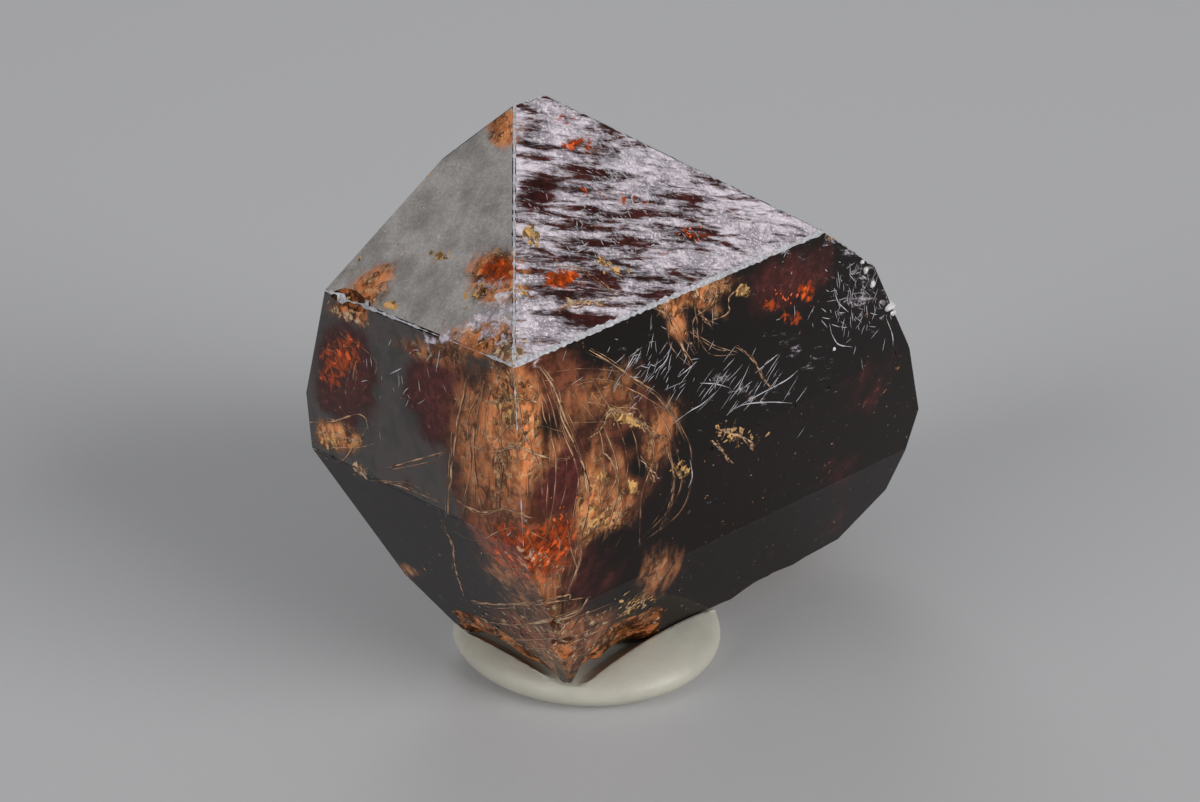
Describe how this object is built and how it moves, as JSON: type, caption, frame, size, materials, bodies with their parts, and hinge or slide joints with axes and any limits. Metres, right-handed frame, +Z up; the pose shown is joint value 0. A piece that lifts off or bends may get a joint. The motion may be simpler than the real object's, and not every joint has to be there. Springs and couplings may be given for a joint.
{
  "type": "zircon crystal",
  "caption": "Distorted zircon crystal with a low four-sided pyramid over a short prism, steep lower faces and a broken foot, standing in a pressed lump of white putty.",
  "frame": {"origin": "on the ground under the middle of the whole object", "axes": "+Z up along the crystal's main axis, +X along its longer prism faces, -Y and -X towards the two faces that the picture shows"},
  "size_m": [0.016, 0.0076, 0.016],
  "materials": {
    "zircon": "dark red-brown gem crystal, glassy faces with silvery haze, amber and gold cracks inside",
    "putty": "smooth creamy white putty with a soft satin surface"
  },
  "bodies": {
    "root": {"zircon_crystal": "zircon", "white_putty": "putty"}
  },
  "joints": []
}
